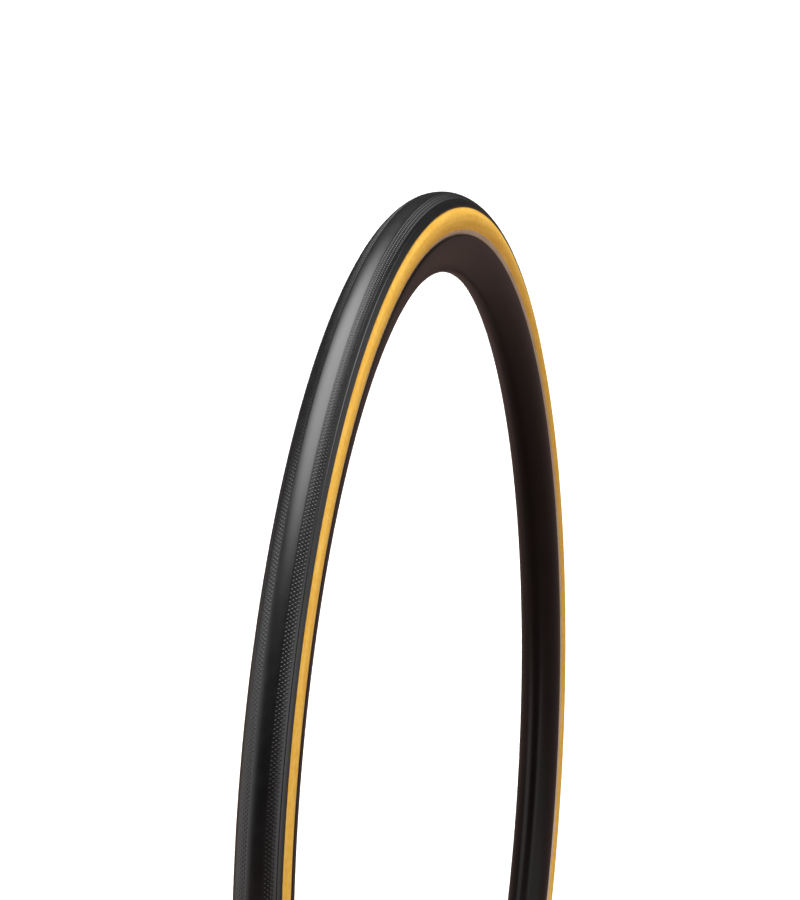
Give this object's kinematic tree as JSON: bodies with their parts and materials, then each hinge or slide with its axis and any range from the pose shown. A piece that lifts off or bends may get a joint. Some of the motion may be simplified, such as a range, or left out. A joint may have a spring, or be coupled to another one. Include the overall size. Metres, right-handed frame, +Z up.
{
  "type": "bicycle tire",
  "caption": "Inflated tan-sidewall road tire with a black tread, on a shallow undrilled black rim with its tube and valve.",
  "frame": {"origin": "middle of the ring, on the axle line", "axes": "+Y along the axle line, +Z up, and the valve at the foot of the ring on -Z"},
  "size_m": [0.678, 0.0276, 0.678],
  "materials": {
    "tread_rubber": "matte",
    "tan_cotton": "matte",
    "inner_cotton": "matte",
    "belt_fabric": "matte",
    "bead_aramid": "matte",
    "chafer_fabric": "matte",
    "butyl": "matte",
    "tape_plastic": "satin",
    "rim_black": "satin",
    "plated_brass": "gloss",
    "bare_brass": "gloss",
    "seal_rubber": "matte",
    "cap_plastic": "matte"
  },
  "bodies": {
    "wheel": {"tread": "tread_rubber", "breaker_belt": "belt_fabric", "casing_outer_ply": "tan_cotton", "casing_inner_ply": "inner_cotton", "bead_core_left": "bead_aramid", "bead_core_right": "bead_aramid", "chafer_left": "chafer_fabric", "chafer_right": "chafer_fabric", "inner_tube": "butyl", "rim_tape": "tape_plastic", "rim": "rim_black", "valve_patch": "butyl", "valve_stem": "plated_brass", "valve_core": "plated_brass", "core_gasket": "seal_rubber"},
    "pin": {"valve_pin": "bare_brass", "pin_seal": "seal_rubber"},
    "pin_nut": {"lock_nut": "plated_brass"},
    "ring_nut": {"rim_nut": "plated_brass"},
    "cap": {"valve_cap": "cap_plastic"}
  },
  "joints": [
    {"name": "lock_nut_rise", "type": "slide", "parent": "pin", "child": "pin_nut", "axis": [0, 0, 1], "range_m": [0, 0.0035]},
    {"name": "pin_press", "type": "slide", "parent": "wheel", "child": "pin", "axis": [0, 0, -1], "range_m": [0, 0.0025]},
    {"name": "rim_nut_rise", "type": "slide", "parent": "wheel", "child": "ring_nut", "axis": [0, 0, 1], "range_m": [0, 0.01]},
    {"name": "cap_lift", "type": "slide", "parent": "wheel", "child": "cap", "axis": [0, 0, 1], "range_m": [0, 0.06]}
  ],
  "couplings": [
    {"joint": "pin_press", "follows": "lock_nut_rise", "ratio": 0.7}
  ]
}
